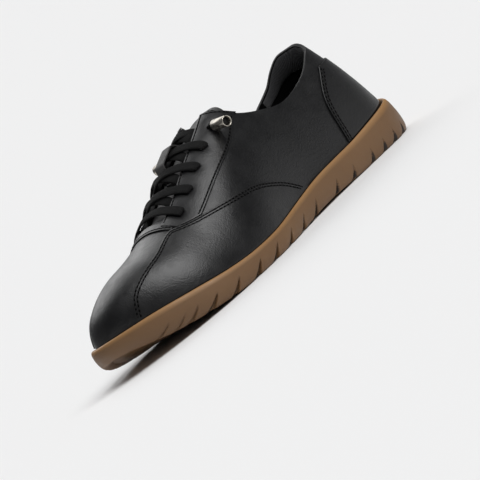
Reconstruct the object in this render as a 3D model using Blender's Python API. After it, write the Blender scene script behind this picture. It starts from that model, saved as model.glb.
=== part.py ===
"""Left barefoot shoe: a leather upper in a cupped gum sole, with flat laces that end in metal tubes.

Metres, +X to the toe, +Y to the outer side, +Z up, with the origin on the floor under the sole's middle.
The upper is one function, skin(). A place on it has three values: along (0 heel, 1 toe), turn (0 at the
feather edge, 1 on the ridge) and side (1 outer, -1 inner). Every panel, hole and lace is read from it.
"""

import math
from collections import namedtuple

import bmesh
import bpy
from mathutils import Vector

# Sole
SOLE_LENGTH = 0.282
BALL_WIDTH = 0.106
HEEL_WIDTH = 0.073
HEEL_ROUND = 0.036
TOE_ROUND = 0.062
SIDE_HEIGHT = 0.0190
TOE_SPRING = 0.0150
ARCH_RISE = 0.0015
SOLE_FLOOR = 0.0060
LIP_WIDTH = 0.0042
SIDEWAYS = 0.00134
WIDENS_FROM = 0.2
WIDENS_OVER = 0.5
CUP_STEP = 0.84
SLIT_HEIGHT = 0.0070
SLIT_WIDTH = 0.0018
SLIT_DEPTH = 0.0016
SLIT_LEAN_HEEL = 10
SLIT_LEAN_TOE = 55

# Upper
HEEL_HEIGHT = 0.081
INSTEP_HEIGHT = 0.096
TOE_ROOF = 0.040
HEEL_LEAN = 0.0175
UPPER_WALL = 0.0022
OVERLAY = 0.0011
CLEARANCE = 0.0003
SEAM_GAP = 0.00065
INSOLE_THICKNESS = 0.0030
INSOLE_BEVEL = 0.0008
INSOLE_TAPER = 0.0004
EYELET_PIN = 0.0120

# Throat, counted from the heel
FACING_TOP = 0.128
FACING_CORNER = 0.0065
FACING_END = 0.211
FACING_REACH = 0.0130
FACING_GAP_TOP = 0.0215
FACING_GAP = 0.0295
EYELET_INSET = 0.0088
FACING_MARGIN_TOP = 0.0074
FACING_MARGIN = 0.0107
THROAT_END = 0.2070
THROAT_ROUND = 0.0070
THROAT_RUN = 0.0300
THROAT_MEETING = 0.06
LEAST_TURN = 0.004
TONGUE_TOP = 0.110
TONGUE_ROOT = 0.222
TONGUE_WIDTH = 0.044
TONGUE_PAD = 0.0030
TONGUE_SAG = 0.0050
TONGUE_SAG_INNER = 0.0030
TONGUE_LIFT = 0.0060
TONGUE_LIFT_RUN = 0.0080
TONGUE_NARROWING = 0.14
TONGUE_ROUND = 0.0080

# Laces
LACE_ROWS = 5
FIRST_ROW = 0.2000
ROW_PITCH = 0.0157
EYELET = 0.0040
LACE_WIDTH = 0.0064
LACE_THICKNESS = 0.0014
TUBE_LENGTH = 0.0145
TUBE_OUTSIDE = 0.0070
TUBE_BORE = 0.0056
TUBE_ASIDE = 0.0026
TUBE_SEAT = 0.0011
TUBE_AXIS = (0.165, 0.98, -0.12)
STRAND_START = 0.45
TOP_STRAND_START = 0.35
TOP_STRAND_END = 0.78

# How finely the forms are cut up
STATION_COUNT = 40
UPPER_ROWS = 8
LACE_STEPS = 8
TUBE_STEPS = 12

# middle and crest are shares of BALL_WIDTH, half of the local width between heel and ball, ridge of
# INSTEP_HEIGHT. full is the exponent of the section: 2 is an ellipse, more is boxier.
Section = namedtuple("Section", "along middle half crest ridge full")
SECTIONS = [
    Section(0.00, 0.000, 0.500, 0.000, 1.17, 2.40),
    Section(0.12, 0.004, 0.500, 0.000, 1.14, 2.40),
    Section(0.22, 0.014, 0.488, 0.005, 1.10, 2.45),
    Section(0.30, 0.026, 0.455, 0.012, 1.05, 2.55),
    Section(0.37, 0.036, 0.425, 0.018, 0.965, 2.80),
    Section(0.44, 0.042, 0.414, 0.020, 0.955, 3.05),
    Section(0.50, 0.044, 0.420, 0.020, 0.905, 3.00),
    Section(0.60, 0.042, 0.462, 0.015, 0.800, 2.40),
    Section(0.70, 0.022, 0.490, 0.000, 0.670, 2.05),
    Section(0.80, -0.005, 0.484, -0.020, 0.570, 2.10),
    Section(0.90, -0.055, 0.468, -0.060, 0.505, 2.25),
    Section(1.00, -0.130, 0.455, -0.100, 0.480, 2.30),
]

# spring is a share of TOE_SPRING, arch of ARCH_RISE, thick of SIDE_HEIGHT, outer and inner (the
# collar's two sides) of HEEL_HEIGHT
Height = namedtuple("Height", "along spring arch thick outer inner")
HEIGHTS = [
    Height(0.00, 0.08, 0.0, 1.26, 1.055, 1.055),
    Height(0.015, 0.03, 0.0, 1.25, 1.015, 1.055),
    Height(0.04, 0.00, 0.0, 1.24, 0.985, 1.00),
    Height(0.08, 0.00, 0.0, 1.19, 0.95, 0.905),
    Height(0.15, 0.00, 0.0, 1.09, 0.865, 0.835),
    Height(0.22, 0.00, 0.0, 1.01, 0.82, 0.780),
    Height(0.29, 0.00, 0.5, 0.95, 0.815, 0.775),
    Height(0.35, 0.00, 0.9, 0.90, 0.88, 0.855),
    Height(0.40, 0.00, 1.0, 0.85, 0.97, 0.97),
    Height(0.44, 0.00, 0.8, 0.81, 1.09, 1.10),
    Height(0.52, 0.00, 0.2, 0.75, 1.35, 1.35),
    Height(0.61, 0.00, 0.0, 0.69, 1.60, 1.60),
    Height(0.70, 0.00, 0.0, 0.71, 1.80, 1.80),
    Height(0.78, 0.04, 0.0, 0.80, 1.80, 1.80),
    Height(0.87, 0.24, 0.0, 0.88, 1.80, 1.80),
    Height(0.94, 0.52, 0.0, 0.86, 1.80, 1.80),
    Height(1.00, 1.00, 0.0, 0.60, 1.80, 1.80),
]

# the sole's side, from under the foot up the outside, over the lip and down into the cup
SoleRing = namedtuple("SoleRing", "inset level")
SOLE_RINGS = [
    SoleRing(0.0095, 0.00),
    SoleRing(0.0034, 0.00),
    SoleRing(0.0014, 0.07),
    SoleRing(0.0004, 0.24),
    SoleRing(0.0000, 0.50),
    SoleRing(0.0003, 0.78),
    SoleRing(0.0010, 0.94),
    SoleRing(0.0022, 1.00),
    SoleRing(0.0034, 0.96),
]

# the slits along the lower edge of the sole's side, by their distance from the heel
SLIT_PLACES = [0.012, 0.024, 0.038, 0.058, 0.075, 0.096, 0.112, 0.128, 0.145, 0.166, 0.190, 0.212, 0.230, 0.248]

# top edge of the side panel: up from the waist to the throat's corner, then forward as the toe seam.
# height is a share of INSTEP_HEIGHT.
Panel = namedtuple("Panel", "along height")
PANEL_EDGE = [
    Panel(0.412, 0.175),
    Panel(0.435, 0.245),
    Panel(0.475, 0.334),
    Panel(0.548, 0.425),
    Panel(0.655, 0.480),
    Panel(0.712, 0.508),
    Panel(0.742, 0.530),
    Panel(0.765, 0.548),
    Panel(0.833, 0.501),
    Panel(0.880, 0.474),
    Panel(0.915, 0.440),
    Panel(0.940, 0.395),
    Panel(0.955, 0.335),
    Panel(0.966, 0.260),
]

# front edge of the heel counter as a share of SOLE_LENGTH, over the height as a share of HEEL_HEIGHT
Counter = namedtuple("Counter", "level reach")
COUNTER_EDGE = [
    Counter(0.25, 0.219),
    Counter(0.51, 0.193),
    Counter(0.65, 0.163),
    Counter(0.82, 0.098),
]


def smooth(rows, column):
    """A smooth function of the table's first column through another of its columns."""
    xs = [row[0] for row in rows]
    ys = [getattr(row, column) for row in rows]
    last = len(xs) - 1
    slopes = [
        (ys[min(i + 1, last)] - ys[max(i - 1, 0)]) / (xs[min(i + 1, last)] - xs[max(i - 1, 0)])
        for i in range(len(xs))
    ]

    def value(x):
        x = min(max(x, xs[0]), xs[-1])
        i = max(k for k in range(last) if x >= xs[k])
        width = xs[i + 1] - xs[i]
        t = (x - xs[i]) / width
        level = ys[i] + (ys[i + 1] - ys[i]) * t * t * (3 - 2 * t)
        return level + width * t * (1 - t) * (slopes[i] * (1 - t) - slopes[i + 1] * t)

    return value


middle_share = smooth(SECTIONS, "middle")
half_share = smooth(SECTIONS, "half")
crest_share = smooth(SECTIONS, "crest")
ridge_share = smooth(SECTIONS, "ridge")
fullness = smooth(SECTIONS, "full")
spring_share = smooth(HEIGHTS, "spring")
arch_share = smooth(HEIGHTS, "arch")
thick_share = smooth(HEIGHTS, "thick")
collar_share = {1: smooth(HEIGHTS, "outer"), -1: smooth(HEIGHTS, "inner")}
panel_share = smooth(PANEL_EDGE, "height")
counter_reach = smooth(COUNTER_EDGE, "reach")


def ease(t):
    t = min(max(t, 0.0), 1.0)
    return t * t * (3 - 2 * t)


def round_end(distance, reach):
    """0 at the end and 1 from reach onwards, as a quarter of an ellipse."""
    t = 1 - min(max(distance / reach, 0.0), 1.0)
    return math.sqrt(1 - t * t)


def under(along):
    """Height of the sole's underside, 0 where it stands on the floor."""
    return max(spring_share(along) * TOE_SPRING + arch_share(along) * ARCH_RISE, 0.0)


def side_top(along):
    """Height of the sole's lip."""
    return under(along) + thick_share(along) * SIDE_HEIGHT


def cup_floor(along):
    return under(along) + SOLE_FLOOR


def middle_line(along):
    """Sideways place of the sole's middle; SIDEWAYS puts both widest points at one distance from Y = 0."""
    return middle_share(along) * BALL_WIDTH - SIDEWAYS


def outline(along, side, inset):
    """A point of the sole's outline seen from above, moved in by inset."""
    length = SOLE_LENGTH - 2 * inset
    local = HEEL_WIDTH + (BALL_WIDTH - HEEL_WIDTH) * ease((along - WIDENS_FROM) / WIDENS_OVER)
    half = half_share(along) * local - inset
    half *= round_end(along * length, HEEL_ROUND - inset)
    half *= round_end((1 - along) * length, TOE_ROUND - inset)
    return length * (along - 0.5), middle_line(along) + side * half


def section_point(turn, full):
    """Shares of the half width and of the rise on a quarter of a superellipse, evenly turned."""
    across, up = max(math.cos(turn * math.pi / 2), 0.0), math.sin(turn * math.pi / 2)
    size = (across ** full + up ** full) ** (1 / full)
    return across / size, up / size


def surface(station, turn, side):
    """The outer face of the upper. station is along, eased so that both ends are drawn finely."""
    along = eased(station)
    inset = LIP_WIDTH + CLEARANCE
    x, y = outline(along, side, inset)
    middle = middle_line(along)
    base = cup_floor(along) + CLEARANCE
    to_toe = (1 - along) * (SOLE_LENGTH - 2 * inset)
    rise = (ridge_share(along) * INSTEP_HEIGHT - SOLE_FLOOR) * round_end(to_toe, TOE_ROOF)
    across, up = section_point(turn, fullness(along))
    crest = (crest_share(along) - middle_share(along)) * BALL_WIDTH
    z = base + rise * up
    level = (z - base) / (HEEL_HEIGHT - SOLE_FLOOR)
    x += HEEL_LEAN * max(level, 0.0) ** 1.5 * (1 - ease(along / 0.4))
    return Vector((x, middle + (y - middle) * across + crest * up * up, z))


def eased(station):
    return (1 - math.cos(math.pi * station)) / 2


def station_at(distance):
    """The station at a distance from the heel."""
    return math.acos(1 - 2 * distance / SOLE_LENGTH) / math.pi


def outward(station, turn, side):
    """The upper's outward normal."""
    step = 1e-4
    s0, s1 = max(station - step, 0.0), min(station + step, 1.0)
    t0, t1 = max(turn - step, 0.0), min(turn + step, 1.0)
    run = surface(s1, turn, side) - surface(s0, turn, side)
    climb = surface(station, t1, side) - surface(station, t0, side)
    return (run.cross(climb) * -side).normalized()


def skin(station, turn, side, lift=0.0):
    """A place on the upper, lifted off it along the normal."""
    return surface(station, turn, side) + outward(station, turn, side) * lift


def find_turn(passed):
    """The turn, from the feather edge up, at which passed(turn) becomes true."""
    low, high = 0.0, 1.0
    for _ in range(40):
        half = (low + high) / 2
        if passed(half):
            high = half
        else:
            low = half
    return high


def turn_at_height(station, side, height):
    return find_turn(lambda turn: surface(station, turn, side).z > height)


def turn_across(station, side, distance):
    """The turn at a sideways distance from the ridge."""
    ridge = surface(station, 1.0, side).y
    return find_turn(lambda turn: abs(surface(station, turn, side).y - ridge) < distance)


def widened(distance, at_top, at_end):
    """A width that grows along the facing, quickly at its top and slowly at its end."""
    ahead = (distance - FACING_TOP) / (FACING_END - FACING_TOP)
    left = 1 - min(ahead, 1.0)
    return at_end + (at_top - at_end) * left ** 3


def facing_edge(distance):
    """Sideways distance from the ridge to the facing's front edge."""
    return widened(distance, FACING_GAP_TOP, FACING_GAP) / 2


def gap_half(distance):
    """Half the throat's width at a distance from the heel, closed by a round end."""
    return facing_edge(distance) * round_end(THROAT_END - distance, THROAT_ROUND)


def soft_least(a, b, reach):
    """The lesser of two values, with the corner between them rounded."""
    h = max(reach - abs(a - b), 0.0) / reach
    return min(a, b) - h * h * reach / 4


def top_edge(station, side):
    """The turn of the collar's and the throat's edge, and 1 where the vamp is closed."""
    along = eased(station)
    distance = along * SOLE_LENGTH
    if distance >= THROAT_END:
        return 1.0
    collar = turn_at_height(station, side, collar_share[side](along) * HEEL_HEIGHT)
    if distance < FACING_TOP - THROAT_RUN:
        return collar
    return soft_least(collar, turn_across(station, side, gap_half(distance)), THROAT_MEETING)


def stations(first, last):
    """Stations shared by all pieces between two of them, finer at the facing's top and the throat."""
    marks = [FACING_TOP - FACING_CORNER, FACING_TOP, FACING_TOP + FACING_CORNER]
    marks += [THROAT_END - THROAT_ROUND * share for share in (1.3, 0.75, 0.4, 0.15, 0.0)]
    fixed = [station_at(mark) for mark in marks]
    near = 0.35 / STATION_COUNT
    even = [i / STATION_COUNT for i in range(STATION_COUNT + 1)]
    kept = fixed + [s for s in even if min(abs(s - f) for f in fixed) > near]
    inside = [s for s in kept if first + near < s < last - near]
    return [first] + sorted(inside) + [last]


def new_object(name, bm, colour, roughness, metallic=0.0):
    mesh = bpy.data.meshes.new(name)
    bm.to_mesh(mesh)
    bm.free()
    mesh.shade_smooth()
    obj = bpy.data.objects.new(name, mesh)
    bpy.context.scene.collection.objects.link(obj)
    material = bpy.data.materials.new(name)
    material.use_nodes = True
    shader = material.node_tree.nodes["Principled BSDF"]
    shader.inputs["Base Color"].default_value = (*colour, 1.0)
    shader.inputs["Roughness"].default_value = roughness
    shader.inputs["Metallic"].default_value = metallic
    mesh.materials.append(material)
    return obj


def add_grid(bm, columns, flip):
    """Quads between columns of points."""
    verts = [[bm.verts.new(point) for point in column] for column in columns]
    for left, right in zip(verts, verts[1:]):
        for i in range(len(left) - 1):
            quad = [left[i], right[i], right[i + 1], left[i + 1]]
            bm.faces.new(quad[::-1] if flip else quad)


def thicken(obj, wall, offset):
    """Gives a sheet its wall: offset 1 builds it outwards, -1 inwards."""
    solid = obj.modifiers.new("Wall", "SOLIDIFY")
    solid.thickness = wall
    solid.offset = offset
    solid.use_even_offset = True


def boolean(obj, operation, other):
    other.hide_render = True
    other.display_type = "WIRE"
    cut = obj.modifiers.new(operation.title(), "BOOLEAN")
    cut.operation = operation
    cut.solver = "EXACT"
    cut.object = other


def loop(point_at):
    """A closed loop of points around the shoe, from the heel along the outer side and back."""
    line = stations(0.0, 1.0)
    there = [point_at(eased(s), 1) for s in line]
    back = [point_at(eased(s), -1) for s in line[-2:0:-1]]
    return there + back


def stack(name, rings, colour, roughness):
    """A solid from closed loops, with ladders of quads across its first and last loop."""
    bm = bmesh.new()
    verts = [[bm.verts.new(point) for point in ring] for ring in rings]
    count = len(rings[0])
    for lower, upper in zip(verts, verts[1:]):
        for i in range(count):
            j = (i + 1) % count
            bm.faces.new([lower[i], upper[i], upper[j], lower[j]])
    for ring, flip in ((verts[0], False), (verts[-1], True)):
        for i in range(count // 2):
            j = (count - i) % count
            k = count - i - 1
            corners = [ring[i], ring[i + 1], ring[k], ring[j]]
            corners = list(dict.fromkeys(corners))
            bm.faces.new(corners[::-1] if flip else corners)
    return new_object(name, bm, colour, roughness)


def slit_cutter():
    """Thin bowed wedges along the lower edge of the sole's side."""
    bm = bmesh.new()
    for side in (1, -1):
        for distance in SLIT_PLACES:
            add_slit(bm, distance / SOLE_LENGTH, side)
    return new_object("slit_cutter", bm, (0.1, 0.1, 0.1), 0.8)


def add_slit(bm, along, side):
    step = 0.004
    edge = Vector((*outline(along, side, 0.0), under(along)))
    ahead = Vector((*outline(along + step, side, 0.0), under(along + step)))
    run = (ahead - edge).normalized()
    out = run.cross(Vector((0, 0, 1))) * side
    out.z = 0.0
    out.normalize()
    degrees = SLIT_LEAN_HEEL + (SLIT_LEAN_TOE - SLIT_LEAN_HEEL) * ease(along / 0.8)
    lean = -math.tan(math.radians(degrees))
    profile = []
    for share, width in ((-0.15, 1.15), (0.45, 0.6), (1.0, 0.0)):
        bow = (share - 0.5) ** 2 * 0.25
        centre = run * (SLIT_HEIGHT * (share * lean + bow)) + Vector((0, 0, SLIT_HEIGHT * share))
        profile.append((centre, width * SLIT_WIDTH / 2))
    left = [centre - run * width for centre, width in profile]
    right = [centre + run * width for centre, width in profile[:2]]
    section = left + right[::-1]
    outer = [bm.verts.new(edge + point + out * SLIT_DEPTH) for point in section]
    inner = [bm.verts.new(edge + point - out * (SLIT_DEPTH + CLEARANCE)) for point in section]
    bm.faces.new(outer if side < 0 else outer[::-1])
    bm.faces.new(inner[::-1] if side < 0 else inner)
    for i in range(len(section)):
        j = (i + 1) % len(section)
        quad = [outer[i], inner[i], inner[j], outer[j]]
        bm.faces.new(quad if side < 0 else quad[::-1])


def make_outsole():
    def ring_point(inset, level):
        def point_at(along, side):
            height = under(along) + level * (side_top(along) - under(along))
            return Vector((*outline(along, side, inset), height))

        return point_at

    rings = [loop(ring_point(ring.inset, ring.level)) for ring in SOLE_RINGS]
    rings.append(loop(ring_point(LIP_WIDTH, CUP_STEP)))
    rings.append(loop(lambda along, side: Vector((*outline(along, side, LIP_WIDTH), cup_floor(along)))))
    sole = stack("outsole", rings, (0.17, 0.09, 0.045), 0.6)
    boolean(sole, "DIFFERENCE", slit_cutter())


def make_insole():
    edge = LIP_WIDTH + UPPER_WALL + 2.2 * CLEARANCE

    def ring_point(inset, height):
        def point_at(along, side):
            return Vector((*outline(along, side, edge + inset), cup_floor(along) + CLEARANCE + height))

        return point_at

    rings = [
        loop(ring_point(0.0, 0.0)),
        loop(ring_point(INSOLE_TAPER, INSOLE_THICKNESS - INSOLE_BEVEL)),
        loop(ring_point(INSOLE_TAPER + INSOLE_BEVEL, INSOLE_THICKNESS)),
    ]
    stack("insole", rings, (0.03, 0.03, 0.03), 0.9)


def rows_between(low, high, count):
    return [low + (high - low) * i / count for i in range(count + 1)]


def toe_station():
    """The last station of the upper, where its roof has sunk below the sole's lip."""
    return 1 - 0.6 / STATION_COUNT


def make_upper():
    bm = bmesh.new()
    for side in (1, -1):
        columns = []
        for station in stations(0.0, toe_station()):
            turns = rows_between(0.0, top_edge(station, side), UPPER_ROWS)
            columns.append([skin(station, turn, side) for turn in turns])
        add_grid(bm, columns, side > 0)
    bmesh.ops.remove_doubles(bm, verts=bm.verts, dist=1e-6)
    upper = new_object("upper", bm, (0.02, 0.02, 0.022), 0.4)
    thicken(upper, UPPER_WALL, -1)
    boolean(upper, "DIFFERENCE", eyelet_cutter("eyelets_upper"))


def row_distance(row):
    """Distance of a lace row from the heel; rows are counted from 0 at the front."""
    return FIRST_ROW - row * ROW_PITCH


def eyelet_station(row):
    return station_at(row_distance(row))


def eyelet_across(row):
    return facing_edge(row_distance(row)) + EYELET_INSET


def eyelet_cutter(name):
    """Pins through the facings at every lace row."""
    bm = bmesh.new()
    for side in (1, -1):
        for row in range(LACE_ROWS):
            station = eyelet_station(row)
            turn = turn_across(station, side, eyelet_across(row))
            normal = outward(station, turn, side)
            turned = normal.to_track_quat("Z", "Y").to_matrix().to_4x4()
            turned.translation = surface(station, turn, side)
            bmesh.ops.create_cone(
                bm, cap_ends=True, segments=10, radius1=EYELET / 2, radius2=EYELET / 2,
                depth=EYELET_PIN, matrix=turned,
            )
    return new_object(name, bm, (0.1, 0.1, 0.1), 0.8)


def make_patch(name, first, last, edges, side, rows):
    """A leather panel on one side of the upper; edges(station) gives its lower and upper turn."""
    columns = []
    for station in stations(first, last):
        low, high = edges(station)
        turns = rows_between(low, max(high, low + LEAST_TURN), rows)
        columns.append([skin(station, turn, side, SEAM_GAP) for turn in turns])
    bm = bmesh.new()
    add_grid(bm, columns, side > 0)
    patch = new_object(name, bm, (0.022, 0.022, 0.025), 0.4)
    thicken(patch, OVERLAY, 1)
    return patch


def lip_turn(station, side):
    """The lowest turn of a panel, just above the sole's lip."""
    return turn_at_height(station, side, side_top(eased(station)) + CLEARANCE)


def panel_turn(station, side, gap=0.0):
    """The turn of the side panel's top edge, or a gap above it."""
    return turn_at_height(station, side, panel_share(eased(station)) * INSTEP_HEIGHT + gap)


def make_side_panel(name, side):
    first = station_at(PANEL_EDGE[0].along * SOLE_LENGTH)
    last = station_at(PANEL_EDGE[-1].along * SOLE_LENGTH)

    def edges(station):
        return lip_turn(station, side), panel_turn(station, side)

    make_patch(name, first, last, edges, side, 5)


def make_facing(name, side):
    first = station_at(FACING_TOP - FACING_REACH)
    last = station_at(FACING_END)

    def edges(station):
        distance = eased(station) * SOLE_LENGTH
        width = EYELET_INSET + widened(distance, FACING_MARGIN_TOP, FACING_MARGIN)
        rear = turn_across(station, side, facing_edge(distance) + width)
        gap = turn_across(station, side, facing_edge(distance))
        low = max(rear, panel_turn(station, side, 2 * CLEARANCE))
        high = min(gap, top_edge(station, side))
        return min(low, high - LEAST_TURN), high

    facing = make_patch(name, first, last, edges, side, 4)
    boolean(facing, "DIFFERENCE", eyelet_cutter("eyelets_" + name))


def make_heel_counter():
    """Wraps the back of the heel, from the outer side round to the inner."""
    spans, levels = 9, 6
    top = COUNTER_EDGE[-1].level * HEEL_HEIGHT

    def height_at(along, share):
        low = side_top(along) + CLEARANCE
        return low + (top - low) * share

    columns = []
    for k in range(-spans, spans + 1):
        side = 1 if k >= 0 else -1
        column = []
        for i in range(levels + 1):
            front_height = height_at(COUNTER_EDGE[0].reach, i / levels)
            front = station_at(counter_reach(front_height / HEEL_HEIGHT) * SOLE_LENGTH)
            station = front * abs(k) / spans
            turn = turn_at_height(station, side, height_at(eased(station), i / levels))
            column.append(skin(station, turn, side, SEAM_GAP))
        columns.append(column)
    bm = bmesh.new()
    add_grid(bm, columns, True)
    counter = new_object("heel_counter", bm, (0.025, 0.025, 0.027), 0.4)
    thicken(counter, OVERLAY, 1)


def place_across(station, across, lift):
    """A place at a signed sideways distance from the ridge."""
    side = 1 if across >= 0 else -1
    return skin(station, turn_across(station, side, abs(across)), side, lift)


def make_tongue():
    depth = -(UPPER_WALL + 2 * SEAM_GAP)
    bm = bmesh.new()
    columns = []
    for station in stations(station_at(TONGUE_TOP), station_at(TONGUE_ROOT)):
        to_top = eased(station) * SOLE_LENGTH - TONGUE_TOP
        half = TONGUE_WIDTH / 2 * (1 - TONGUE_NARROWING * (1 - round_end(to_top, TONGUE_ROUND)))
        sinks = 1 - ease(to_top / (THROAT_END - TONGUE_TOP))
        lift = TONGUE_LIFT * (1 - ease(to_top / TONGUE_LIFT_RUN))
        inner, outer = lift - TONGUE_SAG_INNER * sinks, -TONGUE_SAG * sinks
        column = []
        for k in range(-4, 5):
            edge = inner if k < 0 else outer
            column.append(place_across(station, half * k / 4, depth + edge * (k / 4) ** 2))
        columns.append(column)
    add_grid(bm, columns, False)
    tongue = new_object("tongue", bm, (0.16, 0.16, 0.16), 0.6)
    thicken(tongue, TONGUE_PAD, -1)


def ribbon(name, start, end, lift):
    """A flat lace between two places, each a lace row and a share of the way from ridge to eyelet."""
    places = []
    for i in range(LACE_STEPS + 1):
        row, share = (a + (b - a) * i / LACE_STEPS for a, b in zip(start, end))
        across = share * eyelet_across(row)
        side = 1 if across >= 0 else -1
        station = eyelet_station(row)
        turn = turn_across(station, side, abs(across))
        places.append((skin(station, turn, side, lift), outward(station, turn, side)))
    rails = []
    for i, (centre, normal) in enumerate(places):
        before = places[max(i - 1, 0)][0]
        after = places[min(i + 1, LACE_STEPS)][0]
        wide = (after - before).cross(normal).normalized() * LACE_WIDTH / 2
        rails.append([centre - wide, centre + wide])
    bm = bmesh.new()
    add_grid(bm, rails, True)
    lace = new_object(name, bm, (0.012, 0.012, 0.012), 0.85)
    thicken(lace, LACE_THICKNESS, 1)
    return lace


def make_laces():
    """A bar across the first row, then a crossing from each row to the next."""
    lift = SEAM_GAP + OVERLAY + CLEARANCE
    ribbon("lace_bar", (0, -1.0), (0, 1.0), lift)
    for row in range(LACE_ROWS - 1):
        at_top = row == LACE_ROWS - 2
        low = row + (TOP_STRAND_START if at_top else STRAND_START)
        high = row + (TOP_STRAND_END if at_top else 1)
        edge = facing_edge(row_distance(low)) / eyelet_across(low)
        reach = edge if at_top else 1.0
        crossing = ribbon(f"lace_crossing_{row + 1}", (low, -edge), (high, reach), lift)
        other = ribbon(f"lace_strand_{row + 1}", (low, edge), (high, -reach), lift)
        boolean(crossing, "UNION", other)


def make_tube(name, side):
    """The metal tube on a lace end, standing out from the last eyelet's mouth."""
    station = eyelet_station(LACE_ROWS - 1)
    turn = turn_across(station, side, eyelet_across(LACE_ROWS - 1) + TUBE_ASIDE)
    lift = SEAM_GAP + OVERLAY + CLEARANCE + TUBE_OUTSIDE / 2 - TUBE_SEAT
    start = skin(station, turn, side, lift)
    axis = Vector((TUBE_AXIS[0], side * TUBE_AXIS[1], TUBE_AXIS[2])).normalized()
    bm = bmesh.new()
    inner, outer = TUBE_BORE / 2, TUBE_OUTSIDE / 2
    profile = [(inner, 0.0), (outer, 0.0), (outer, TUBE_LENGTH), (inner, TUBE_LENGTH)]
    verts = [bm.verts.new((radius, 0.0, height)) for radius, height in profile]
    edges = [bm.edges.new((verts[i], verts[(i + 1) % 4])) for i in range(4)]
    bmesh.ops.spin(
        bm, geom=verts + edges, cent=(0, 0, 0), axis=(0, 0, 1), angle=math.tau,
        steps=TUBE_STEPS, use_merge=True,
    )
    bmesh.ops.recalc_face_normals(bm, faces=bm.faces)
    tube = new_object(name, bm, (0.75, 0.72, 0.66), 0.25, 1.0)
    tube.location = start
    tube.rotation_mode = "QUATERNION"
    tube.rotation_quaternion = axis.to_track_quat("Z", "Y")


def main():
    for obj in list(bpy.data.objects):
        bpy.data.objects.remove(obj)
    make_outsole()
    make_insole()
    make_upper()
    make_tongue()
    make_heel_counter()
    for side, name in ((1, "outer"), (-1, "inner")):
        make_side_panel("side_panel_" + name, side)
        make_facing("facing_" + name, side)
        make_tube("lace_tube_" + name, side)
    make_laces()


main()
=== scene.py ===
import functools
import math

import bmesh
import bpy
from mathutils import Matrix, Vector


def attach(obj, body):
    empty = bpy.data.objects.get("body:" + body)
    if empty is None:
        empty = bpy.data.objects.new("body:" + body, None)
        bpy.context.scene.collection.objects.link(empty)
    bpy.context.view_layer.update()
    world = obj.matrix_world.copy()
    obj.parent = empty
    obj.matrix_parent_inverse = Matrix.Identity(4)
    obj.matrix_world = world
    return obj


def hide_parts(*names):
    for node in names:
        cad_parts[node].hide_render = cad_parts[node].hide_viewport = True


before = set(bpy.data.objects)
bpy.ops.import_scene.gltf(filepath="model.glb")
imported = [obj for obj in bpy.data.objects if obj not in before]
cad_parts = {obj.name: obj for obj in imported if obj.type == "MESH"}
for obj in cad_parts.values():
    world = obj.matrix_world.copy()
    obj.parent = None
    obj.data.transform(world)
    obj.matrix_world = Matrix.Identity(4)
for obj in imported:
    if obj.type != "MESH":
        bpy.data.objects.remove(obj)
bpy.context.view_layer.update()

# the shoe's own sizes in metres, the same as in the solids: +X to the toe, +Y to the outer side
sides = ((1, "outer"), (-1, "inner"))
last = dict(
    ballWidth=0.106, heelWidth=0.073, heelRound=0.036, toeRound=0.062, sideways=0.00134,
    heelHeight=0.081, instepHeight=0.096, toeRoof=0.040, heelLean=0.0175, leanOver=0.4, leanCurve=1.5,
    widensFrom=0.2, widensOver=0.5, wall=0.0022, overlay=0.0010, gap=0.0003, seamGap=0.00025, bareGap=0.00065,
)
sole = dict(
    length=0.282, sideHeight=0.019, toeSpring=0.015, archRise=0.0015, floor=0.006, lip=0.0042, lipStep=0.84,
    columns=1700, perRing=6, cupColumns=120, cupRows=24,
)
throat = dict(
    top=0.128, corner=0.0065, reach=0.0130, end=0.211, gapTop=0.0215, gap=0.0295, inset=0.0088,
    marginTop=0.0074, margin=0.0107, closes=0.2070, closeRound=0.0070, run=0.0300, meeting=0.06,
    closeSteps=(1.5, 1.2, 0.95, 0.7, 0.5, 0.33, 0.2, 0.1, 0.03, 0.0), cornerSteps=6, nearest=0.35,
)
lace = dict(
    rows=5, first=0.2000, pitch=0.0157, hole=0.0040, width=0.0064, thick=0.0017, rest=0.0002, below=0.00065,
    strandStart=0.45, topStart=0.35, topEnd=0.78, secondOver=0.0016, steps=10, around=20, least=0.2,
    flatWidth=0.55, flatThick=0.8,
    tubeLength=0.0145, tubeOutside=0.0070, tubeBore=0.0056, tubeAside=0.0026, tubeSeat=0.0011,
    tubeSoft=0.00025, tubeAxis=(0.165, 0.98, -0.12), endMiddle=0.45, endLength=0.86, endPlay=0.0001,
)
underThroat = -(last["wall"] + 2 * last["bareGap"])
joinDistance = 2e-6
smallStep = 1e-4
halvings = 24

# along, middle, half, crest, ridge, fullness: shares of the ball width, the local width and the instep
sections = [
    (0.00, 0.000, 0.500, 0.000, 1.17, 2.40),
    (0.12, 0.004, 0.500, 0.000, 1.14, 2.40),
    (0.22, 0.014, 0.488, 0.005, 1.10, 2.45),
    (0.30, 0.026, 0.455, 0.012, 1.05, 2.55),
    (0.37, 0.036, 0.425, 0.018, 0.965, 2.80),
    (0.44, 0.042, 0.414, 0.020, 0.955, 3.05),
    (0.50, 0.044, 0.420, 0.020, 0.905, 3.00),
    (0.60, 0.042, 0.462, 0.015, 0.800, 2.40),
    (0.70, 0.022, 0.490, 0.000, 0.670, 2.05),
    (0.80, -0.005, 0.484, -0.020, 0.570, 2.10),
    (0.90, -0.055, 0.468, -0.060, 0.505, 2.25),
    (1.00, -0.130, 0.455, -0.100, 0.480, 2.30),
]
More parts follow.
